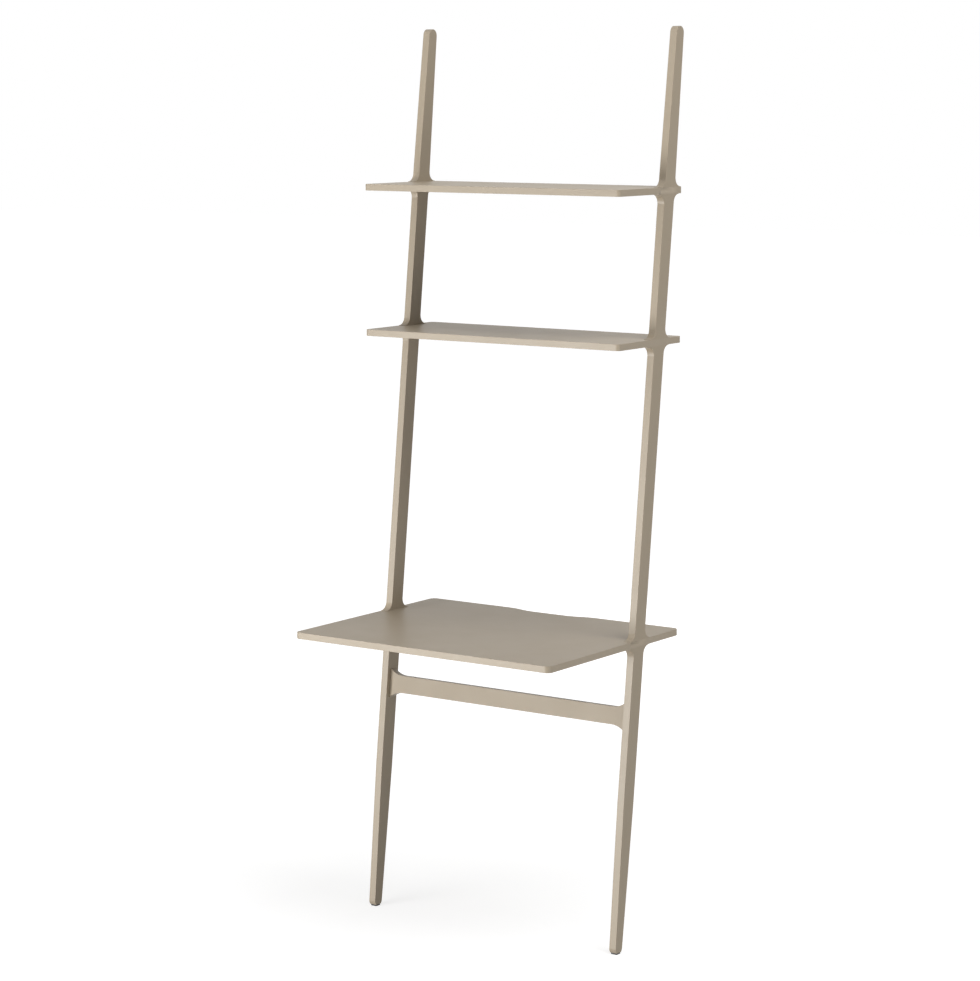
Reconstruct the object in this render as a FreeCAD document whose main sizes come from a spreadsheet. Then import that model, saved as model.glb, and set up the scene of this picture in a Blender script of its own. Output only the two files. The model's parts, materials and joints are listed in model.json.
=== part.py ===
import FreeCAD, Part
import math
import os
import Sketcher

# Ladder desk: a desk top and two shelves, carried by a pair of thin posts that stand on two
# feet and lean back until their round tips meet the wall. Each post is built up from four
# lengths of board that are cut to the lean angle and flare out where they meet a plate.
#
# X runs along the desk, Y towards the wall and Z up. The origin is on the floor, at mid width
# and mid depth. Lengths are in millimetres and angles in degrees.

DRIVING = {
    # the whole desk
    "overall_width": 750,
    "overall_height": 2226,
    "lean_angle": 6.57,
    # desk top and shelves, all cut from one board
    "board_thickness": 16,
    "desk_height": 761,
    "desk_depth": 575,
    "desk_corner_radius": 15,
    "lower_shelf_height": 1483,
    "upper_shelf_height": 1844,
    "shelf_depth": 283,
    "shelf_corner_radius": 10,
    # cable recess in the desk's back edge
    "recess_width": 270,
    "recess_depth": 15.5,
    "recess_flank": 90,
    # posts
    "post_thickness": 19,
    "post_width": 44,
    "tip_radius": 16,
    "tip_taper_gap": 2,
    "foot_radius": 14.5,
    "foot_taper_height": 360,
    "flare_radius": 22,
    "flare_lip": 1,
    "flare_land": 0.5,
    # stretcher between the legs
    "stretcher_height": 573,
    "stretcher_width": 44,
    "stretcher_thickness": 19,
    "stretcher_flare_length": 40,
    "stretcher_flare_rise": 16,
    # glides under the feet
    "glide_size": 18,
    "glide_corner": 3,
    "glide_thickness": 3.5,
    "stem_diameter": 5,
    "stem_length": 12,
    # loose tenons: through the plates into the posts, and from the stretcher into the legs
    "tenon_thickness": 8,
    "tenon_width": 24,
    "tenon_depth": 25,
    "side_tenon_width": 40,
    "side_tenon_depth": 12,
    # wall brackets and their screws
    "bracket_spacing": 500,
    "bracket_width": 18,
    "bracket_flange": 40,
    "bracket_drop": 42,
    "bracket_thickness": 2,
    "bracket_bend": 2,
    "near_screw": 14,
    "far_screw": 30,
    "wall_hole_drop": 26,
    "wall_hole": 5.5,
    "screw_hole": 4.6,
    "screw_diameter": 4,
    "screw_length": 14,
    "screw_head": 8,
    "screw_crown": 5,
    "screw_head_height": 2.4,
    # clearances, across a hole or beyond its end
    "snug": 0.1,
    "end_gap": 1,
}

TOUCH = 1e-6  # how near an edge passes a point that it runs through

doc = FreeCAD.newDocument("ladder_desk")
dims = doc.addObject("Spreadsheet::Sheet", "dims")
for row, (name, size) in enumerate(DRIVING.items(), 1):
    dims.set(f"A{row}", name)
    dims.set(f"B{row}", str(size))
    dims.setAlias(f"B{row}", name)
doc.recompute()

# Expressions that several pieces share
cosine = "cos(dims.lean_angle)"
sine = "sin(dims.lean_angle)"
tangent = "tan(dims.lean_angle)"
wall = "dims.desk_depth / 2"
desk_underside = "(dims.desk_height - dims.board_thickness)"
half_width = "dims.post_width / 2"
half_across = f"({half_width} / {cosine})"  # the same, measured level
post_x = "(dims.overall_width - dims.post_thickness) / 2"
inner_face = "(dims.overall_width / 2 - dims.post_thickness)"
foot_y = f"({wall} - dims.tip_radius - (dims.overall_height - dims.tip_radius) * {tangent})"
stretcher_u = f"(dims.stretcher_height / {cosine})"
tight_reach = "dims.flare_radius / tan(45 - dims.lean_angle / 2)"
wide_reach = "dims.flare_radius / tan(45 + dims.lean_angle / 2)"

SIDES = {"left": -1, "right": 1}
PLATES = {
    "desk_top": "dims.desk_height",
    "lower_shelf": "dims.lower_shelf_height",
    "upper_shelf": "dims.upper_shelf_height",
}


def number(expression):
    """Value of an expression over the driving dimensions."""
    return float(dims.evalExpression(expression))


def place(origin, axis="0; 0; 1", angle="0"):
    """Expression for a placement: where it is, and the turn about an axis there."""
    return f"placement(vector({origin}); rotation(vector({axis}); {angle}))"


def post_line(side):
    """Leaning frame of a post, or midway between them for 0.

    Its u runs up the post from the floor, and v across it towards the wall.
    """
    return place(f"{side} * {post_x}; {foot_y}; 0", "-1; 0; 0", "dims.lean_angle")


def level(height, behind):
    """A point in the post's own frame, from its height and how far it is behind the mid line."""
    return (f"({behind}) * {cosine}", f"({height}) / {cosine} + ({behind}) * {sine}")


# ---- drawing helpers -------------------------------------------------------------------


def new_body(name, placement):
    body = doc.addObject("PartDesign::Body", name)
    body.setExpression("Placement", placement)
    return body


def new_sketch(body, name, plane, offset=None):
    """Sketch on one of the body's own origin planes, moved from it by an offset expression."""
    sketch = body.newObject("Sketcher::SketchObject", name)
    support = next(item for item in body.Origin.OriginFeatures if item.Role == plane)
    sketch.AttachmentSupport = [(support, "")]
    sketch.MapMode = "FlatFace"
    if offset:
        sketch.setExpression("AttachmentOffset", offset)
    return sketch


def fix(sketch, kind, geometry, point, expression):
    """Dimension on a point or a radius, bound to an expression."""
    where = (geometry,) if point is None else (geometry, point)
    index = sketch.addConstraint(Sketcher.Constraint(kind, *where, number(expression)))
    sketch.setExpression(f"Constraints[{index}]", expression)


def arc_between(start, end, radius, turn):
    """Shorter arc from start to end, turning left for 1 and right for -1."""
    chord = end - start
    side = FreeCAD.Vector(-chord.y, chord.x, 0).normalize() * turn
    depth = math.sqrt(max(radius**2 - (chord.Length / 2) ** 2, 0))
    centre = start + chord * 0.5 + side * depth
    first, last = (start, end) if turn > 0 else (end, start)
    begin = math.atan2(first.y - centre.y, first.x - centre.x)
    finish = math.atan2(last.y - centre.y, last.x - centre.x)
    if finish < begin:
        finish += 2 * math.pi
    circle = Part.Circle(centre, FreeCAD.Vector(0, 0, 1), radius)
    return Part.ArcOfCircle(circle, begin, finish)


def draw_outline(sketch, corners):
    """Closed outline. A corner is (x, y), or (x, y, radius, turn) where an arc follows it."""
    spots = [FreeCAD.Vector(number(corner[0]), number(corner[1]), 0) for corner in corners]
    ends = []
    for index, corner in enumerate(corners):
        start = spots[index]
        end = spots[(index + 1) % len(spots)]
        if len(corner) == 2:
            sketch.addGeometry(Part.LineSegment(start, end), False)
            ends.append((1, 2))
        else:
            radius, turn = corner[2:]
            sketch.addGeometry(arc_between(start, end, number(radius), turn), False)
            ends.append((1, 2) if turn > 0 else (2, 1))
    for index, corner in enumerate(corners):
        after = (index + 1) % len(corners)
        link = (index, ends[index][1], after, ends[after][0])
        sketch.addConstraint(Sketcher.Constraint("Coincident", *link))
        fix(sketch, "DistanceX", index, ends[index][0], corner[0])
        fix(sketch, "DistanceY", index, ends[index][0], corner[1])
        if len(corner) > 2:
            fix(sketch, "Radius", index, None, corner[2])


def draw_circles(sketch, centres, diameter):
    radius = f"({diameter}) / 2"
    for index, (x, y) in enumerate(centres):
        spot = FreeCAD.Vector(number(x), number(y), 0)
        sketch.addGeometry(Part.Circle(spot, FreeCAD.Vector(0, 0, 1), number(radius)), False)
        fix(sketch, "DistanceX", index, 3, x)
        fix(sketch, "DistanceY", index, 3, y)
        fix(sketch, "Radius", index, None, radius)


def draw_slots(sketch, middles, width, thickness):
    """Slots with round ends, long along the sketch's Y."""
    radius = f"({thickness}) / 2"
    reach = f"(({width}) - ({thickness})) / 2"
    across = FreeCAD.Vector(number(radius), 0, 0)
    for x, y in middles:
        first = sketch.GeometryCount
        upper, lower, front, back = range(first, first + 4)
        high = FreeCAD.Vector(number(x), number(f"{y} + {reach}"), 0)
        low = FreeCAD.Vector(number(x), number(f"{y} - {reach}"), 0)
        for centre, start in ((high, 0), (low, math.pi)):
            circle = Part.Circle(centre, FreeCAD.Vector(0, 0, 1), across.x)
            sketch.addGeometry(Part.ArcOfCircle(circle, start, start + math.pi), False)
        sketch.addGeometry(Part.LineSegment(high - across, low - across), False)
        sketch.addGeometry(Part.LineSegment(low + across, high + across), False)
        for link in ((upper, 2, front, 1), (front, 2, lower, 1), (lower, 2, back, 1), (back, 2, upper, 1)):
            sketch.addConstraint(Sketcher.Constraint("Tangent", *link))
        sketch.addConstraint(Sketcher.Constraint("Equal", upper, lower))
        for arc, spot in ((upper, f"{y} + {reach}"), (lower, f"{y} - {reach}")):
            fix(sketch, "DistanceX", arc, 3, x)
            fix(sketch, "DistanceY", arc, 3, spot)
        fix(sketch, "Radius", upper, None, radius)


def pad(body, sketch, length, both_ways=False):
    feature = body.newObject("PartDesign::Pad", f"{sketch.Name}_pad")
    feature.Profile = sketch
    feature.SideType = "Symmetric" if both_ways else "One side"
    feature.setExpression("Length", length)
    doc.recompute()


def cut_through(body, sketch, reverse=False, both_ways=False):
    """Pocket through everything behind the sketch, or in front of it when reversed."""
    before = body.Tip.Shape.Volume
    feature = body.newObject("PartDesign::Pocket", f"{sketch.Name}_cut")
    feature.Profile = sketch
    feature.Type = "ThroughAll"
    feature.SideType = "Symmetric" if both_ways else "One side"
    feature.Reversed = reverse
    doc.recompute()
    if feature.Shape.Volume > before - TOUCH:
        raise RuntimeError(f"{feature.Name} removes nothing")


def round_edges(body, name, spots, radius):
    """Fillet the edges that run through these points of the body."""
    base = body.Tip
    edges = base.Shape.Edges
    names = []
    for spot in spots:
        point = Part.Vertex(*[number(value) for value in spot])
        names += [f"Edge{n}" for n, edge in enumerate(edges, 1) if edge.distToShape(point)[0] < TOUCH]
    feature = body.newObject("PartDesign::Fillet", f"{body.Name}_{name}")
    feature.Base = (base, names)
    feature.setExpression("Radius", radius)
    doc.recompute()


def turned(name, profile):
    """Master of a turned piece: a half profile of (radius, height) corners, spun about Z."""
    body = new_body(name, place("0; 0; 0"))
    sketch = new_sketch(body, f"{name}_profile", "XZ_Plane")
    draw_outline(sketch, profile)
    spin = body.newObject("PartDesign::Revolution", f"{name}_spin")
    spin.Profile = sketch
    spin.ReferenceAxis = (sketch, ["V_Axis"])
    spin.Angle = 360
    doc.recompute()
    return body


def copies(name, master, placements):
    """One piece name for several identical pieces."""
    links = []
    for index, placement in enumerate(placements, 1):
        link = doc.addObject("App::Link", f"{name}_{index}")
        link.LinkedObject = master
        link.setExpression("Placement", placement)
        links.append(link)
    group = doc.addObject("Part::Compound", name)
    group.Links = links
    return group


# ---- posts -----------------------------------------------------------------------------


def seat(height, up):
    """Corners of a flared end on a plate's face: up is 1 above the plate and -1 below it."""
    ledge = f"{height} + {up} * dims.flare_lip"
    wide_end = f"{-up} * ({half_across} + {wide_reach} + dims.flare_land)"
    tight_end = f"{up} * ({half_across} + {tight_reach} + dims.flare_land)"
    return [
        level(ledge, f"{-up} * {half_across}"),
        level(ledge, wide_end),
        level(height, wide_end),
        level(height, tight_end),
        level(ledge, tight_end),
        level(ledge, f"{up} * {half_across}"),
    ]


def taper_angle(radius, length):
    """Angle off the post's line of a side that narrows to touch a round end of this radius."""
    run = f"sqrt(({half_width})^2 + ({length})^2)"
    return f"(atan({half_width} / ({length})) - asin({radius} / {run}))"


def tip_end():
    """Corners of the top end: both sides narrow to a half round that touches the wall."""
    centre = f"(dims.overall_height - dims.tip_radius) / {cosine}"
    flare_top = f"(dims.upper_shelf_height + dims.flare_lip) / {cosine} + {half_across} * {sine}"
    start = f"({flare_top} + {tight_reach} + dims.tip_taper_gap)"
    angle = taper_angle("dims.tip_radius", f"{centre} - {start}")
    touch_v = f"dims.tip_radius * cos({angle})"
    touch_u = f"{centre} + dims.tip_radius * sin({angle})"
    return [
        (half_width, start),
        (touch_v, touch_u, "dims.tip_radius", 1),
        (f"-{touch_v}", touch_u),
        (f"-{half_width}", start),
    ]


def foot_end():
    """Corners of the bottom end: a half round cut off level where the glide sits."""
    centre = f"dims.foot_radius / {cosine}"
    start = f"dims.foot_taper_height / {cosine}"
    angle = taper_angle("dims.foot_radius", f"{start} - {centre}")
    touch_v = f"dims.foot_radius * cos({angle})"
    touch_u = f"{centre} - dims.foot_radius * sin({angle})"
    cut = "(dims.foot_radius - dims.glide_thickness)"
    half_flat = f"sqrt(dims.foot_radius^2 - {cut}^2)"
    front_flat = level("dims.glide_thickness", f"{cut} * {tangent} - {half_flat}")
    rear_flat = level("dims.glide_thickness", f"{cut} * {tangent} + {half_flat}")
    return [
        (f"-{half_width}", start),
        (f"-{touch_v}", touch_u, "dims.foot_radius", 1),
        front_flat,
        (*rear_flat, "dims.foot_radius", 1),
        (touch_v, touch_u),
        (half_width, start),
    ]


def cut_mortises(body, name, plane, blind_end, middles, width, reverse=False):
    """Mortises from a plane at their blind end outwards, for tenons of this width."""
    sketch = new_sketch(body, name, plane, place(f"0; 0; {blind_end}"))
    draw_slots(sketch, middles, f"{width} + dims.snug", "dims.tenon_thickness + dims.snug")
    cut_through(body, sketch, reverse)


def make_post(name, side, low, high):
    """Length of post from the plate face low to the plate face high; None is a free end."""
    body = new_body(name, post_line(side))
    sketch = new_sketch(body, f"{name}_profile", "YZ_Plane")
    lower = seat(low, 1) if low else foot_end()
    upper = seat(high, -1) if high else tip_end()
    draw_outline(sketch, lower + upper)
    pad(body, sketch, "dims.post_thickness", both_ways=True)
    flares = []
    if low:
        flares += [("0", *lower[0]), ("0", *lower[-1])]
    if high:
        flares += [("0", *upper[0]), ("0", *upper[-1])]
    round_edges(body, "flares", flares, "dims.flare_radius")
    depth = "(dims.tenon_depth + dims.end_gap)"
    for height, up in ((low, 1), (high, -1)):
        if height:
            mortise = f"{name}_{'low' if up > 0 else 'high'}_mortise"
            blind_end = f"{height} / {cosine} + {up} * {depth}"
            cut_mortises(body, mortise, "XY_Plane", blind_end, [("0", "0")], "dims.tenon_width", up < 0)
    return body


def bore_leg(body, side):
    """Mortise in a leg's inner face for the stretcher, and the bore for the glide's stem."""
    blind_end = f"{side} * (dims.side_tenon_depth + dims.end_gap - dims.post_thickness / 2)"
    middles = [("0", stretcher_u)]
    mortise = f"{body.Name}_side_mortise"
    cut_mortises(body, mortise, "YZ_Plane", blind_end, middles, "dims.side_tenon_width", side < 0)
    centre = place(f"0; 0; dims.foot_radius / {cosine}", "1; 0; 0", "dims.lean_angle")
    rise = "dims.glide_thickness + dims.stem_length + dims.end_gap - dims.foot_radius"
    offset = f"{centre} * {place(f'0; 0; {rise}')}"
    sketch = new_sketch(body, f"{body.Name}_stem", "XY_Plane", offset)
    draw_circles(sketch, [("0", "0")], "dims.stem_diameter + dims.snug")
    cut_through(body, sketch)


# ---- plates ----------------------------------------------------------------------------


def make_plate(name, depth, top, corner_radius):
    """Plate with rounded corners, its back edge on the wall, slotted along both posts."""
    underside = f"{top} - dims.board_thickness"
    body = new_body(name, place(f"0; {wall}; {underside}"))
    sketch = new_sketch(body, f"{name}_outline", "XY_Plane")
    half = "dims.overall_width / 2"
    corners = [(f"-{half}", f"-{depth}"), (half, f"-{depth}"), (half, "0"), (f"-{half}", "0")]
    draw_outline(sketch, corners)
    pad(body, sketch, "dims.board_thickness")
    middle = "dims.board_thickness / 2"
    round_edges(body, "corners", [(x, y, middle) for x, y in corners], corner_radius)
    mid_line = f"{foot_y} + ({underside}) * {tangent} - {wall}"
    offset = place(f"0; {mid_line}; 0", "-1; 0; 0", "dims.lean_angle")
    sketch = new_sketch(body, f"{name}_slots", "XY_Plane", offset)
    middles = [(f"-{post_x}", "0"), (post_x, "0")]
    draw_slots(sketch, middles, "dims.tenon_width + dims.snug", "dims.tenon_thickness + dims.snug")
    cut_through(body, sketch, both_ways=True)
    return body


def cut_cable_recess(body):
    """Shallow recess in the back edge, with S-shaped flanks of two equal arcs."""
    half = "dims.recess_width / 2"
    flank = "dims.recess_flank / 2"
    depth = "dims.recess_depth / 2"
    bend = f"(({flank})^2 + ({depth})^2) / (2 * {depth})"
    beyond = "dims.board_thickness"
    sketch = new_sketch(body, "cable_recess", "XY_Plane")
    draw_outline(
        sketch,
        [
            (f"-{half}", beyond),
            (f"-{half}", "0", bend, -1),
            (f"-{half} + {flank}", f"-{depth}", bend, 1),
            (f"-{half} + 2 * {flank}", f"-2 * {depth}"),
            (f"{half} - 2 * {flank}", f"-2 * {depth}", bend, 1),
            (f"{half} - {flank}", f"-{depth}", bend, -1),
            (half, "0"),
            (half, beyond),
        ],
    )
    cut_through(body, sketch, both_ways=True)


def bore_for_brackets(body):
    """Blind pilot holes in the desk's underside for the bracket screws."""
    depth = "dims.screw_length - dims.bracket_thickness + dims.end_gap"
    sketch = new_sketch(body, "bracket_pilots", "XY_Plane", place(f"0; 0; {depth}"))
    half = "dims.bracket_spacing / 2"
    centres = [(x, f"-{y}") for x in (f"-{half}", half) for y in ("dims.near_screw", "dims.far_screw")]
    draw_circles(sketch, centres, "dims.screw_diameter + dims.snug")
    cut_through(body, sketch)


# ---- stretcher -------------------------------------------------------------------------


def make_stretcher():
    """Rail between the legs, leaning with them, whose ends flare above and below."""
    body = new_body("stretcher", post_line(0))
    sketch = new_sketch(body, "stretcher_profile", "XZ_Plane")
    start = f"{inner_face} - dims.stretcher_flare_length"
    low = f"{stretcher_u} - dims.stretcher_width / 2"
    high = f"{stretcher_u} + dims.stretcher_width / 2"
    lowest = f"{low} - dims.stretcher_flare_rise"
    highest = f"{high} + dims.stretcher_flare_rise"
    bend = "(dims.stretcher_flare_length^2 + dims.stretcher_flare_rise^2) / (2 * dims.stretcher_flare_rise)"
    draw_outline(
        sketch,
        [
            (f"-{inner_face}", lowest, bend, -1),
            (f"-({start})", low),
            (start, low, bend, -1),
            (inner_face, lowest),
            (inner_face, highest, bend, -1),
            (start, high),
            (f"-({start})", high, bend, -1),
            (f"-{inner_face}", highest),
        ],
    )
    pad(body, sketch, "dims.stretcher_thickness", both_ways=True)
    middles = [("0", stretcher_u)]
    for side_name, side in SIDES.items():
        blind_end = f"{side} * ({inner_face} - dims.tenon_depth - dims.end_gap)"
        mortise = f"stretcher_{side_name}_mortise"
        cut_mortises(body, mortise, "YZ_Plane", blind_end, middles, "dims.side_tenon_width", side > 0)
    return body


# ---- glides and brackets ---------------------------------------------------------------


def make_glide(name, side):
    """Moulded pad whose stem plugs into the foot."""
    body = new_body(name, place(f"{side} * {post_x}; {foot_y} + dims.foot_radius * {tangent}; 0"))
    sketch = new_sketch(body, f"{name}_outline", "XY_Plane")
    half = "dims.glide_size / 2"
    corners = [(f"-{half}", f"-{half}"), (half, f"-{half}"), (half, half), (f"-{half}", half)]
    draw_outline(sketch, corners)
    pad(body, sketch, "dims.glide_thickness")
    middle = "dims.glide_thickness / 2"
    round_edges(body, "corners", [(x, y, middle) for x, y in corners], "dims.glide_corner")
    sketch = new_sketch(body, f"{name}_stem", "XY_Plane", place("0; 0; dims.glide_thickness"))
    draw_circles(sketch, [("0", "0")], "dims.stem_diameter")
    pad(body, sketch, "dims.stem_length")
    return body


def make_bracket(name, side):
    """Steel angle under the desk's back edge, its drop flat on the wall."""
    body = new_body(name, place(f"{side} * dims.bracket_spacing / 2; {wall}; {desk_underside}"))
    sketch = new_sketch(body, f"{name}_profile", "YZ_Plane")
    steel = "dims.bracket_thickness"
    outside = f"(dims.bracket_bend + {steel})"
    draw_outline(
        sketch,
        [
            ("-dims.bracket_flange", "0"),
            ("-dims.bracket_flange", f"-{steel}"),
            (f"-{outside}", f"-{steel}", "dims.bracket_bend", -1),
            (f"-{steel}", f"-{outside}"),
            (f"-{steel}", "-dims.bracket_drop"),
            ("0", "-dims.bracket_drop"),
            ("0", f"-{outside}", outside, 1),
            (f"-{outside}", "0"),
        ],
    )
    pad(body, sketch, "dims.bracket_width", both_ways=True)
    sketch = new_sketch(body, f"{name}_desk_holes", "XY_Plane")
    draw_circles(sketch, [("0", "-dims.near_screw"), ("0", "-dims.far_screw")], "dims.screw_hole")
    cut_through(body, sketch)
    sketch = new_sketch(body, f"{name}_wall_hole", "XZ_Plane")
    draw_circles(sketch, [("0", "-dims.wall_hole_drop")], "dims.wall_hole")
    cut_through(body, sketch, reverse=True)
    return body


# ---- tenons and screws -----------------------------------------------------------------


def make_tenon(name, plane, width, length):
    """Loose tenon with round edges, square to one of its own planes and centred on it."""
    body = new_body(name, place("0; 0; 0"))
    sketch = new_sketch(body, f"{name}_section", plane)
    draw_slots(sketch, [("0", "0")], width, "dims.tenon_thickness")
    pad(body, sketch, length, both_ways=True)
    return body


def make_post_tenons():
    """One tenon through each plate into the posts above and below it, on both sides."""
    length = f"dims.board_thickness / {cosine} + 2 * dims.tenon_depth"
    master = make_tenon("post_tenon", "XY_Plane", "dims.tenon_width", length)
    placements = [
        f"{post_line(side)} * {place(f'0; 0; ({top} - dims.board_thickness / 2) / {cosine}')}"
        for side in SIDES.values()
        for top in PLATES.values()
    ]
    return copies("post_tenons", master, placements)


def make_stretcher_tenons():
    """One tenon from each end of the stretcher into its leg."""
    length = "dims.tenon_depth + dims.side_tenon_depth"
    master = make_tenon("stretcher_tenon", "YZ_Plane", "dims.side_tenon_width", length)
    middle = f"{inner_face} - (dims.tenon_depth - dims.side_tenon_depth) / 2"
    placements = [
        f"{post_line(0)} * {place(f'{side} * ({middle}); 0; {stretcher_u}')}" for side in SIDES.values()
    ]
    return copies("stretcher_tenons", master, placements)


def make_bracket_screws():
    """Two screws up through each bracket into the desk, their zero under the head."""
    head = "dims.screw_head / 2"
    shank = "dims.screw_diameter / 2"
    master = turned(
        "bracket_screw",
        [
            ("0", "-dims.screw_head_height"),
            ("dims.screw_crown / 2", "-dims.screw_head_height"),
            (head, "0"),
            (shank, "0"),
            (shank, f"dims.screw_length - {shank}"),
            ("0", "dims.screw_length"),
        ],
    )
    placements = [
        place(f"{side} * dims.bracket_spacing / 2; {wall} - {y}; {desk_underside} - dims.bracket_thickness")
        for side in SIDES.values()
        for y in ("dims.near_screw", "dims.far_screw")
    ]
    return copies("bracket_screws", master, placements)


# ---- assembly --------------------------------------------------------------------------

pieces = []

for name, top in PLATES.items():
    kind = "desk" if name == "desk_top" else "shelf"
    pieces.append(make_plate(name, f"dims.{kind}_depth", top, f"dims.{kind}_corner_radius"))
cut_cable_recess(pieces[0])
bore_for_brackets(pieces[0])

POSTS = {
    "leg": (None, desk_underside),
    "middle_post": ("dims.desk_height", "(dims.lower_shelf_height - dims.board_thickness)"),
    "upper_post": ("dims.lower_shelf_height", "(dims.upper_shelf_height - dims.board_thickness)"),
    "top_post": ("dims.upper_shelf_height", None),
}
for side_name, side in SIDES.items():
    for kind, (low, high) in POSTS.items():
        post = make_post(f"{side_name}_{kind}", side, low, high)
        if kind == "leg":
            bore_leg(post, side)
        pieces.append(post)
    pieces.append(make_glide(f"{side_name}_glide", side))
    pieces.append(make_bracket(f"{side_name}_wall_bracket", side))

pieces.append(make_stretcher())
pieces.append(make_post_tenons())
pieces.append(make_stretcher_tenons())
pieces.append(make_bracket_screws())
doc.recompute()

for item in doc.Objects:
    if "Invalid" in item.State or "Error" in item.State:
        raise RuntimeError(f"{item.Name} did not recompute: {item.State}")
for piece in pieces:
    if piece.Shape.isNull() or not piece.Shape.isValid():
        raise RuntimeError(f"{piece.Name} has no valid shape")

os.makedirs("parts", exist_ok=True)
for piece in pieces:
    piece.Shape.exportStep(f"parts/{piece.Label}.step")
    print(piece.Label, len(piece.Shape.Solids), round(piece.Shape.Volume))
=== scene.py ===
import bmesh
import bpy
import json
import math
from mathutils import Matrix, Vector
from mathutils.bvhtree import BVHTree

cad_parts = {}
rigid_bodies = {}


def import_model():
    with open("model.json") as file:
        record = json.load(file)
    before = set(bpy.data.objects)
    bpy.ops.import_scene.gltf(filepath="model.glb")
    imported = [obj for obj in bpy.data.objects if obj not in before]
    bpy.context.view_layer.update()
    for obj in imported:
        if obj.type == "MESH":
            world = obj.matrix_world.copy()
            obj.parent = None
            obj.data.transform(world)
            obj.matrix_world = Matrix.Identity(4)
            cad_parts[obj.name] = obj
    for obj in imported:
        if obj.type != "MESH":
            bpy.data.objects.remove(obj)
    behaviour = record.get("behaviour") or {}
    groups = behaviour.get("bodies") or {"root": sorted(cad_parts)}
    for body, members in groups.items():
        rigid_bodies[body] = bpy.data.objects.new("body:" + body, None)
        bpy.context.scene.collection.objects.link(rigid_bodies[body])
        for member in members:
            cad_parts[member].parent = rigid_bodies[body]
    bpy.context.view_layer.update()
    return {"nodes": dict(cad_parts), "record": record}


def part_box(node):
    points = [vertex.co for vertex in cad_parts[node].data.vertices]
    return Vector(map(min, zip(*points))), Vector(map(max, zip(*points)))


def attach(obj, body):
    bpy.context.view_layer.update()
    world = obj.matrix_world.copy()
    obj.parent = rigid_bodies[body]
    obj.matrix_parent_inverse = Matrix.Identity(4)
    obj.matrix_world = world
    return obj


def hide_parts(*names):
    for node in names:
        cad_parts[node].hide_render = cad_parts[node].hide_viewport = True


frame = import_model()
print("frame loaded:", len(frame["nodes"]), "nodes")

shapes = bpy.data.objects

# camera

camera = {
    "place": (3.9934, -5.6848, 2.0942),
    "turn": 35.031,  # degrees left of straight ahead
    "lookDown": 8.084,
    "roll": -0.079,
    "lens": 105.6,
    "sensor": 36,
}


def addCamera():
    data = bpy.data.cameras.new("camera")
    data.lens = camera["lens"]
    data.sensor_width = camera["sensor"]
    eye = shapes.new("camera", data)
    turn = Matrix.Rotation(math.radians(camera["turn"]), 3, "Z")
    tilt = Matrix.Rotation(math.radians(90 - camera["lookDown"]), 3, "X")
    roll = Matrix.Rotation(math.radians(camera["roll"]), 3, "Z")
    eye.location = camera["place"]
    eye.rotation_euler = (turn @ tilt @ roll).to_euler()
    bpy.context.collection.objects.link(eye)
    bpy.context.scene.camera = eye


addCamera()

# helpers for nodes and meshes


def emptyTree(owner):
    owner.use_nodes = True
    owner.node_tree.nodes.clear()
    return owner.node_tree


def addNode(tree, kind, **settings):
    node = tree.nodes.new(kind)
    for name, value in settings.items():
        setattr(node, name, value)
    return node


def feed(tree, node, **inputs):
    # an input is a plain value, or another node's socket; underscores stand for spaces, and
    # i0, i1 and so on for an input's number
    for name, value in inputs.items():
        key = int(name[1:]) if name[0] == "i" and name[1:].isdigit() else name.replace("_", " ")
        if isinstance(value, bpy.types.NodeSocket):
            tree.links.new(value, node.inputs[key])
        else:
            node.inputs[key].default_value = value
    return node


def addBump(tree, height, depth):
    bump = addNode(tree, "ShaderNodeBump")
    return feed(tree, bump, Height=height, Distance=depth, Strength=1.0)


def newGroup(name, inputs, outputs):
    group = bpy.data.node_groups.new(name, "ShaderNodeTree")
    for label, value in inputs.items():
        kind = "NodeSocketColor" if isinstance(value, tuple) else "NodeSocketFloat"
        socket = group.interface.new_socket(label, in_out="INPUT", socket_type=kind)
        socket.default_value = value
    for label, kind in outputs.items():
        group.interface.new_socket(label, in_out="OUTPUT", socket_type=kind)
    return group, addNode(group, "NodeGroupInput"), addNode(group, "NodeGroupOutput")


def newMaterial(name):
    material = bpy.data.materials.new(name)
    tree = emptyTree(material)
    shader = addNode(tree, "ShaderNodeBsdfPrincipled")
    out = addNode(tree, "ShaderNodeOutputMaterial")
    tree.links.new(shader.outputs[0], out.inputs[0])
    return material, tree, shader


def useGroup(tree, group, **inputs):
    node = addNode(tree, "ShaderNodeGroup", node_tree=group)
    return feed(tree, node, **inputs)


def addPiece(mesh, name, material):
    data = bpy.data.meshes.new(name)
    mesh.to_mesh(data)
    mesh.free()
    data.materials.append(material)
    piece = shapes.new(name, data)
    bpy.context.collection.objects.link(piece)
    return piece


# shared effects

effects = {
    "cloudDetail": 3.0,
    "cloudRange": (0.3, 0.7),  # the middle of the noise, spread from low to high
    "skinUnits": 1000.0,  # to the metre: a skin's sizes are in millimetres
    "rippleDetail": 1.0,
    "grainDetail": 2.0,
    "grainFineness": 6.0,  # grains to a ripple
}


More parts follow.
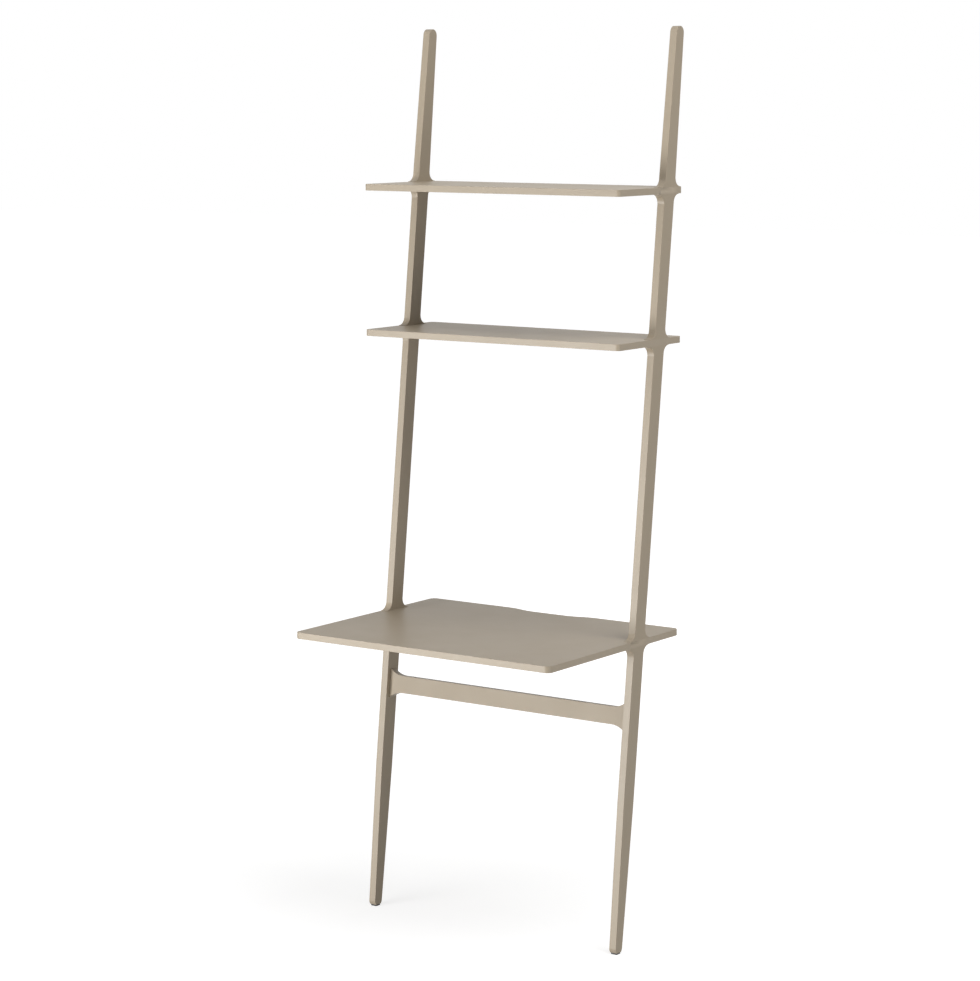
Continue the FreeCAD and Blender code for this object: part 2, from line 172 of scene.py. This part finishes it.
def makeCloudGroup():
    # slow drift of a tone or a gloss over the surface, between two values
    group, given, out = newGroup(
        "slow clouds", {"Scale": 6.0, "Low": 0.0, "High": 1.0}, {"Value": "NodeSocketFloat"}
    )
    place = addNode(group, "ShaderNodeTexCoord")
    noise = addNode(group, "ShaderNodeTexNoise")
    feed(group, noise, Vector=place.outputs["Object"], Scale=given.outputs["Scale"])
    feed(group, noise, Detail=effects["cloudDetail"])
    least, most = effects["cloudRange"]
    spread = addNode(group, "ShaderNodeMapRange")
    feed(group, spread, Value=noise.outputs["Fac"], From_Min=least, From_Max=most)
    feed(group, spread, To_Min=given.outputs["Low"], To_Max=given.outputs["High"])
    group.links.new(spread.outputs[0], out.inputs[0])
    return group


def makeTintGroup():
    # a colour made lighter or darker by a factor
    group, given, out = newGroup(
        "tint", {"Colour": (0.5, 0.5, 0.5, 1.0), "Factor": 1.0}, {"Colour": "NodeSocketColor"}
    )
    scale = addNode(group, "ShaderNodeVectorMath", operation="SCALE")
    feed(group, scale, i0=given.outputs["Colour"], Scale=given.outputs["Factor"])
    group.links.new(scale.outputs[0], out.inputs[0])
    return group


def makePeelGroup():
    # height of a sprayed skin: the slack ripple of orange peel and a fine grain on it
    group, given, out = newGroup(
        "sprayed skin", {"Ripple Size": 3.0, "Grain Share": 0.3}, {"Height": "NodeSocketFloat"}
    )
    place = addNode(group, "ShaderNodeTexCoord")
    perMetre = addNode(group, "ShaderNodeMath", operation="DIVIDE")
    feed(group, perMetre, i0=effects["skinUnits"], i1=given.outputs["Ripple Size"])
    ripple = addNode(group, "ShaderNodeTexNoise")
    feed(group, ripple, Vector=place.outputs["Object"], Scale=perMetre.outputs[0])
    feed(group, ripple, Detail=effects["rippleDetail"])
    finer = addNode(group, "ShaderNodeMath", operation="MULTIPLY")
    feed(group, finer, i0=perMetre.outputs[0], i1=effects["grainFineness"])
    grain = addNode(group, "ShaderNodeTexNoise")
    feed(group, grain, Vector=place.outputs["Object"], Scale=finer.outputs[0])
    feed(group, grain, Detail=effects["grainDetail"])
    both = addNode(group, "ShaderNodeMix", data_type="FLOAT")
    feed(group, both, i0=given.outputs["Grain Share"])
    feed(group, both, i2=ripple.outputs["Fac"], i3=grain.outputs["Fac"])
    group.links.new(both.outputs[0], out.inputs[0])
    return group


clouds = makeCloudGroup()
tint = makeTintGroup()
sprayedSkin = makePeelGroup()

# finishes

lacquer = {
    "colour": (0.356, 0.296, 0.218, 1),
    "toneScale": 5.0,
    "toneSpread": 0.018,
    "milledTone": 0.985,  # milled edges drink more primer than the faces
    # the eased arrises are painted lighter: a painted highlight along the edges
    "arrisTone": 1.05,
    "glossScale": 14.0,
    "gloss": (0.42, 0.46),
    "shine": 0.3,
    "milledShine": 0.2,  # more on the edges, which are sanded finer between coats
    "rippleSize": 4.0,
    "rippleGrain": 0.15,
    "rippleDepth": 0.00006,
    "fibreSize": 0.9,
    "fibreGrain": 0.5,
    "fibreDepth": 0.00005,
}


def makeLacquer():
    material, tree, shader = newMaterial("satin lacquer")
    milled = addNode(tree, "ShaderNodeAttribute", attribute_name="milled").outputs["Fac"]
    arris = addNode(tree, "ShaderNodeAttribute", attribute_name="arris").outputs["Fac"]
    scale, spread = lacquer["toneScale"], lacquer["toneSpread"]
    tone = useGroup(tree, clouds, Scale=scale, Low=1 - spread, High=1 + spread).outputs[0]
    # milled edges a touch darker in their own colour; the arrises lighter, a painted highlight
    for mask, factor in ((milled, lacquer["milledTone"]), (arris, lacquer["arrisTone"])):
        step = addNode(tree, "ShaderNodeMath", operation="MULTIPLY_ADD")
        feed(tree, step, i0=mask, i1=factor - 1, i2=tone)
        tone = step.outputs[0]
    colour = useGroup(tree, tint, Colour=lacquer["colour"], Factor=tone)
    low, high = lacquer["gloss"]
    sheen = useGroup(tree, clouds, Scale=lacquer["glossScale"], Low=low, High=high)
    shine = addNode(tree, "ShaderNodeMath", operation="MULTIPLY_ADD")
    feed(tree, shine, i0=milled, i1=lacquer["milledShine"], i2=lacquer["shine"])
    skin = useGroup(tree, sprayedSkin, Ripple_Size=lacquer["rippleSize"])
    feed(tree, skin, Grain_Share=lacquer["rippleGrain"])
    peel = addBump(tree, skin.outputs[0], lacquer["rippleDepth"])
    lifted = useGroup(tree, sprayedSkin, Ripple_Size=lacquer["fibreSize"])
    feed(tree, lifted, Grain_Share=lacquer["fibreGrain"])
    onEdges = addNode(tree, "ShaderNodeMath", operation="MULTIPLY")
    feed(tree, onEdges, i0=lifted.outputs[0], i1=milled)
    fibres = addBump(tree, onEdges.outputs[0], lacquer["fibreDepth"])
    feed(tree, fibres, Normal=peel.outputs[0])
    feed(tree, shader, Base_Color=colour.outputs[0], Roughness=sheen.outputs[0])
    feed(tree, shader, Normal=fibres.outputs[0], Specular_IOR_Level=shine.outputs[0])
    return material


glidePlastic = {
    "colour": (0.035, 0.035, 0.037, 1),
    "metallic": 0.0,
    "toneScale": 120.0,
    "tone": (0.9, 1.12),
    "glossScale": 200.0,
    "gloss": (0.48, 0.62),
    "grainSize": 0.5,
    "grainShare": 0.4,
    "grainDepth": 0.00004,
}

zinc = {
    "colour": (0.55, 0.56, 0.57, 1),
    "metallic": 1.0,
    "toneScale": 160.0,
    "tone": (0.9, 1.1),  # the spangle
    "glossScale": 90.0,
    "gloss": (0.26, 0.42),
    "grainSize": 0.7,
    "grainShare": 0.5,
    "grainDepth": 0.00002,
}


def makeGrainy(name, look):
    # the plastic and the plated steel differ in their values only
    material, tree, shader = newMaterial(name)
    low, high = look["tone"]
    tone = useGroup(tree, clouds, Scale=look["toneScale"], Low=low, High=high)
    colour = useGroup(tree, tint, Colour=look["colour"], Factor=tone.outputs[0])
    low, high = look["gloss"]
    sheen = useGroup(tree, clouds, Scale=look["glossScale"], Low=low, High=high)
    skin = useGroup(tree, sprayedSkin, Ripple_Size=look["grainSize"])
    feed(tree, skin, Grain_Share=look["grainShare"])
    grain = addBump(tree, skin.outputs[0], look["grainDepth"])
    feed(tree, shader, Base_Color=colour.outputs[0], Roughness=sheen.outputs[0])
    feed(tree, shader, Normal=grain.outputs[0], Metallic=look["metallic"])
    return material


beech = {
    "pale": (0.68, 0.48, 0.30, 1),
    "dark": (0.52, 0.33, 0.19, 1),
    "roughness": 0.6,
    "ringScale": 90.0,
    "ringBend": 2.5,
    "ringDetail": 2.0,
    "fleckScale": (900.0, 900.0, 160.0),
    "fleckDetail": 2.0,
}


def makeBeech():
    material, tree, shader = newMaterial("planed beech")
    place = addNode(tree, "ShaderNodeTexCoord").outputs["Object"]
    rings = addNode(tree, "ShaderNodeTexWave", bands_direction="X")
    feed(tree, rings, Vector=place, Scale=beech["ringScale"])
    feed(tree, rings, Distortion=beech["ringBend"], Detail=beech["ringDetail"])
    stretched = addNode(tree, "ShaderNodeMapping")
    feed(tree, stretched, Vector=place, Scale=beech["fleckScale"])
    flecks = addNode(tree, "ShaderNodeTexNoise")
    feed(tree, flecks, Vector=stretched.outputs[0], Scale=1.0, Detail=beech["fleckDetail"])
    share = addNode(tree, "ShaderNodeMath", operation="MULTIPLY")
    feed(tree, share, i0=rings.outputs["Fac"], i1=flecks.outputs["Fac"])
    colour = addNode(tree, "ShaderNodeMix", data_type="RGBA")
    feed(tree, colour, i0=share.outputs[0], i6=beech["pale"], i7=beech["dark"])
    feed(tree, shader, Base_Color=colour.outputs[2], Roughness=beech["roughness"])
    return material


finishes = {
    "lacquered_board": makeLacquer(),
    "glide_plastic": makeGrainy("moulded glide plastic", glidePlastic),
    "zinc_steel": makeGrainy("bright zinc plate", zinc),
    "beech": makeBeech(),
}
slotOf = {part["node"]: part["material_slot"] for part in frame["record"]["subparts"]}
print("finishes made:", len(finishes))

# boards: the lacquered nodes again, with their arrises eased wherever they are in the open

boards = {
    "mergeGap": 0.000005,
    "flatAngle": 0.4,  # degrees between faces that are one plane
    "arrisAngle": 25,
    "arris": 0.0005,
    "arrisSteps": 3,
    "narrow": 0.0011,  # a face narrower than this keeps its sharp edges
    "probe": 0.0003,  # how far beside an edge another board is looked for
    "probeReach": 1.5,  # in probes
    "seatGap": 0.00001,  # between a post and the plate that it stands on
    "seatDigits": 5,
    "cutGap": 0.000001,
    "milledShare": 0.5,  # a milled face looks less than this across its board's thickness
    "shadingAngle": 35,  # sharper edges break the shading
    "shadingWeight": 80,
}
boardNames = [name for name, slot in slotOf.items() if slot == "lacquered_board"]
plateNames = ["desk_top", "lower_shelf", "upper_shelf"]


def mergedCopy(name):
    mesh = bmesh.new()
    mesh.from_mesh(frame["nodes"][name].data)
    bmesh.ops.remove_doubles(mesh, verts=mesh.verts, dist=boards["mergeGap"])
    return mesh


def wholeFacedCopy(name):
    # each flat face is one face again, where the node has triangles
    mesh = mergedCopy(name)
    flat = math.radians(boards["flatAngle"])
    bmesh.ops.dissolve_limit(mesh, angle_limit=flat, verts=mesh.verts, edges=mesh.edges)
    return mesh


def roundEdges(mesh, edges, radius, steps, clamp):
    made = bmesh.ops.bevel(
        mesh,
        geom=edges,
        affect="EDGES",
        offset=radius,
        segments=steps,
        profile=0.5,
        material=-1,
        clamp_overlap=clamp,
    )
    return made["faces"]


def standIn(mesh, name):
    # the reworked mesh takes the node's place, body and finish
    # where an eased arris stops at a joint, the smooth shading still bends round the corner
    for face in mesh.faces:
        face.smooth = True
    piece = addPiece(mesh, f"{name}_finished", finishes[slotOf[name]])
    piece.data.set_sharp_from_angle(angle=math.radians(boards["shadingAngle"]))
    evenShading = piece.modifiers.new("even shading", "WEIGHTED_NORMAL")
    evenShading.keep_sharp = True
    evenShading.weight = boards["shadingWeight"]
    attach(piece, "root")
    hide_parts(name)


def seatEnds(plate):
    # where along Y the posts above and below a plate begin and end on its faces
    low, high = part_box(plate)
    ends = []
    for name in boardNames:
        if name in plateNames or name == "stretcher":
            continue
        corners = [vert.co for vert in frame["nodes"][name].data.vertices]
        for level in (low.z, high.z):
            touching = [co.y for co in corners if abs(co.z - level) < boards["seatGap"]]
            if touching:
                ends += [min(touching), max(touching)]
    return sorted(set(round(y, boards["seatDigits"]) for y in ends))


def thicknessAxis(name):
    # plates are thin along Z, the stretcher along Y and the posts and legs along X
    if name in plateNames:
        return 2
    return 1 if name == "stretcher" else 0


def insideAny(point, trees):
    for tree in trees:
        spot, normal, _, _ = tree.find_nearest(point, boards["probe"] * boards["probeReach"])
        if spot and (point - spot).dot(normal) < 0:
            return True
    return False


def widthFrom(edge, face):
    # how far a face reaches away from one of its edges
    start, end = (vert.co for vert in edge.verts)
    along = (end - start).normalized()
    return max((vert.co - start).cross(along).length for vert in face.verts)


def isOpenArris(edge, others):
    # an edge in the open: sharp, between faces wide enough, and with no other board against it
    if len(edge.link_faces) != 2 or edge.calc_face_angle() < math.radians(boards["arrisAngle"]):
        return False
    if not edge.is_convex:
        return False
    first, second = edge.link_faces
    if min(widthFrom(edge, face) for face in edge.link_faces) < boards["narrow"]:
        return False
    middle = (edge.verts[0].co + edge.verts[1].co) / 2
    step = (first.normal - second.normal) * boards["probe"]
    return not insideAny(middle + step, others) and not insideAny(middle - step, others)


def easeBoard(name, trees):
    mesh = wholeFacedCopy(name)
    if name in plateNames:
        for y in seatEnds(name):
            bmesh.ops.bisect_plane(
                mesh,
                geom=mesh.verts[:] + mesh.edges[:] + mesh.faces[:],
                plane_co=(0, y, 0),
                plane_no=(0, 1, 0),
                dist=boards["cutGap"],
            )
    mesh.normal_update()
    across = thicknessAxis(name)
    milled = mesh.faces.layers.float.new("milled")
    arris = mesh.faces.layers.float.new("arris")
    for face in mesh.faces:
        face[milled] = 1.0 if abs(face.normal[across]) < boards["milledShare"] else 0.0
    others = [tree for other, tree in trees.items() if other != name]
    sharp = [edge for edge in mesh.edges if isOpenArris(edge, others)]
    for face in roundEdges(mesh, sharp, boards["arris"], boards["arrisSteps"], False):
        face[milled] = 1.0
        face[arris] = 1.0
    standIn(mesh, name)
    print(f"  {name}: {len(sharp)} arrises eased")


def makeBoards():
    trees = {}
    for name in boardNames:
        mesh = mergedCopy(name)
        trees[name] = BVHTree.FromBMesh(mesh)
        mesh.free()
    for name in boardNames:
        easeBoard(name, trees)


makeBoards()
print("boards eased:", len(boardNames))

# glides and brackets, with their edges eased

smallParts = {
    "easing": {"glide": 0.0005, "wall_bracket": 0.00025},
    "steps": 3,
}


def easeSmallPart(name, radius):
    mesh = wholeFacedCopy(name)
    limit = math.radians(boards["arrisAngle"])
    sharp = [edge for edge in mesh.edges if edge.is_convex and edge.calc_face_angle() > limit]
    roundEdges(mesh, sharp, radius, smallParts["steps"], True)
    standIn(mesh, name)


# screws, whose heads look down, with a cross recess for the driver

screws = {
    "slotLength": 0.0019,  # from the screw's axis
    "slotHalfWidth": 0.0005,
    "slotDepth": 0.0014,
    "slotTaper": 0.75,
    "lookDown": 0.99,  # how squarely the crown of a head faces the floor
    "crownReach": 0.003,
    "crownGap": 0.00001,
    "cutGap": 0.0000001,
}


def looksDown(face):
    return face.normal.z < -screws["lookDown"]


def crownFaces(mesh, centre):
    # the crown of one head, in as many faces as the cuts have made of it
    mesh.normal_update()
    reach = screws["crownReach"]
    down = [face for face in mesh.faces if looksDown(face)]
    return [face for face in down if (face.calc_center_median() - centre).length < reach]


def inSlot(point, centre):
    along, across = screws["slotLength"], screws["slotHalfWidth"]
    x, y = abs(point.x - centre.x), abs(point.y - centre.y)
    return (x < along and y < across) or (x < across and y < along)


def cutDriverSlot(mesh, centre):
    for axis in (Vector((1, 0, 0)), Vector((0, 1, 0))):
        for reach in (screws["slotLength"], screws["slotHalfWidth"]):
            for side in (-reach, reach):
                faces = crownFaces(mesh, centre)
                geom = {part for face in faces for part in (*face.verts, *face.edges, face)}
                bmesh.ops.bisect_plane(
                    mesh,
                    geom=list(geom),
                    plane_co=centre + axis * side,
                    plane_no=axis,
                    dist=screws["cutGap"],
                )
    crown = crownFaces(mesh, centre)
    inside = [face for face in crown if inSlot(face.calc_center_median(), centre)]
    sunk = bmesh.ops.extrude_face_region(mesh, geom=inside)["geom"]
    bmesh.ops.delete(mesh, geom=inside, context="FACES")
    bottom = [part for part in sunk if isinstance(part, bmesh.types.BMVert)]
    taper = screws["slotTaper"]
    bmesh.ops.scale(mesh, vec=(taper, taper, 1), space=Matrix.Translation(-centre), verts=bottom)
    bmesh.ops.translate(mesh, vec=(0, 0, screws["slotDepth"]), verts=bottom)


def makeScrews(name):
    mesh = wholeFacedCopy(name)
    mesh.normal_update()
    lowest = min(vert.co.z for vert in mesh.verts)
    centres = [face.calc_center_median() for face in mesh.faces if looksDown(face)]
    crowns = [centre for centre in centres if abs(centre.z - lowest) < screws["crownGap"]]
    for centre in crowns:
        cutDriverSlot(mesh, centre)
    standIn(mesh, name)
    print(f"  {name}: {len(crowns)} driver slots cut")


for name, node in frame["nodes"].items():
    kind = name.replace("left_", "").replace("right_", "")
    if kind in smallParts["easing"]:
        easeSmallPart(name, smallParts["easing"][kind])
    elif kind == "bracket_screws":
        makeScrews(name)
    elif slotOf[name] != "lacquered_board":
        node.data.materials.clear()
        node.data.materials.append(finishes[slotOf[name]])
print("small parts finished")

# studio

studio = {
    "white": (1, 1, 1, 1),
    "floorSize": 60,
    "floorBounce": 0.5,  # how pale the floor is to the light that it sends up
    "floorCatch": 0.5,  # how pale the camera sees it
    "farGlow": 0.952,  # added for the camera, so that the open floor is white
    "glowDip": 0.25,  # less of that where the lamps reach
    "dipRadius": 2.0,
    "skyForLight": 0.18,
    "aim": (0, 0, 1.1),
    "lamps": {
        "front low softbox": {"power": 243, "size": (3.0, 1.6), "place": (-1.73, -4.09, 0.4)},
        "front high softbox": {"power": 33, "size": (2.4, 2.0), "place": (-0.82, -3.07, 4.28)},
        "side softbox": {"power": 114, "size": (3.0, 3.0), "place": (2.41, -0.43, 4.87)},
        "side low panel": {"power": 45, "size": (2.0, 1.6), "place": (4.38, -0.77, 0.6)},
        "rear fill": {
            "power": 32,
            "size": (2.4, 2.4),
            "place": (-1.3, 4.4, 1.4),
            "inGloss": False,
        },
    },
}


def seenDirectly(tree):
    # 1 for the camera and for what shows in gloss or glass, 0 for light on the object
    path = addNode(tree, "ShaderNodeLightPath")
    total = path.outputs["Is Camera Ray"]
    for other in ("Is Glossy Ray", "Is Transmission Ray"):
        either = addNode(tree, "ShaderNodeMath", operation="MAXIMUM")
        feed(tree, either, i0=total, i1=path.outputs[other])
        total = either.outputs[0]
    return total


def addSky():
    world = bpy.data.worlds.new("sky")
    tree = emptyTree(world)
    strength = addNode(tree, "ShaderNodeMapRange")
    feed(tree, strength, Value=seenDirectly(tree), To_Min=studio["skyForLight"], To_Max=1.0)
    glow = addNode(tree, "ShaderNodeBackground")
    feed(tree, glow, Color=studio["white"], Strength=strength.outputs[0])
    out = addNode(tree, "ShaderNodeOutputWorld")
    tree.links.new(glow.outputs[0], out.inputs[0])
    bpy.context.scene.world = world


def addGrey(tree, level):
    diffuse = addNode(tree, "ShaderNodeBsdfDiffuse")
    return feed(tree, diffuse, Color=(level, level, level, 1))


def floorGlow(tree):
    # farGlow, less glowDip / (1 + (distance / dipRadius) ** 2)
    place = addNode(tree, "ShaderNodeTexCoord")
    distance = addNode(tree, "ShaderNodeVectorMath", operation="LENGTH")
    feed(tree, distance, i0=place.outputs["Object"])
    ratio = addNode(tree, "ShaderNodeMath", operation="DIVIDE")
    feed(tree, ratio, i0=distance.outputs["Value"], i1=studio["dipRadius"])
    spread = addNode(tree, "ShaderNodeMath", operation="MULTIPLY_ADD")
    feed(tree, spread, i0=ratio.outputs[0], i1=ratio.outputs[0], i2=1.0)
    dip = addNode(tree, "ShaderNodeMath", operation="DIVIDE")
    feed(tree, dip, i0=studio["glowDip"], i1=spread.outputs[0])
    lift = addNode(tree, "ShaderNodeMath", operation="SUBTRACT")
    feed(tree, lift, i0=studio["farGlow"], i1=dip.outputs[0])
    return lift.outputs[0]


def addFloor():
    material = bpy.data.materials.new("pale floor")
    tree = emptyTree(material)
    bounce = addGrey(tree, studio["floorBounce"])
    catch = addGrey(tree, studio["floorCatch"])
    glow = addNode(tree, "ShaderNodeEmission")
    feed(tree, glow, Color=studio["white"], Strength=floorGlow(tree))
    seen = addNode(tree, "ShaderNodeAddShader")
    tree.links.new(catch.outputs[0], seen.inputs[0])
    tree.links.new(glow.outputs[0], seen.inputs[1])
    choose = addNode(tree, "ShaderNodeMixShader")
    tree.links.new(seenDirectly(tree), choose.inputs[0])
    tree.links.new(bounce.outputs[0], choose.inputs[1])
    tree.links.new(seen.outputs[0], choose.inputs[2])
    out = addNode(tree, "ShaderNodeOutputMaterial")
    tree.links.new(choose.outputs[0], out.inputs[0])
    mesh = bmesh.new()
    bmesh.ops.create_grid(mesh, x_segments=1, y_segments=1, size=studio["floorSize"] / 2)
    floor = addPiece(mesh, "floor", material)


def addLamps():
    for name, lamp in studio["lamps"].items():
        data = bpy.data.lights.new(name, "AREA")
        data.shape = "RECTANGLE"
        data.size, data.size_y = lamp["size"]
        data.energy = lamp["power"]
        light = shapes.new(name, data)
        light.location = lamp["place"]
        away = Vector(lamp["place"]) - Vector(studio["aim"])
        light.rotation_euler = away.to_track_quat("Z", "Y").to_euler()
        light.visible_camera = False
        light.visible_glossy = lamp.get("inGloss", True)
        bpy.context.collection.objects.link(light)


addSky()
addFloor()
addLamps()
bpy.context.scene.view_settings.view_transform = "Standard"
print("studio lit")
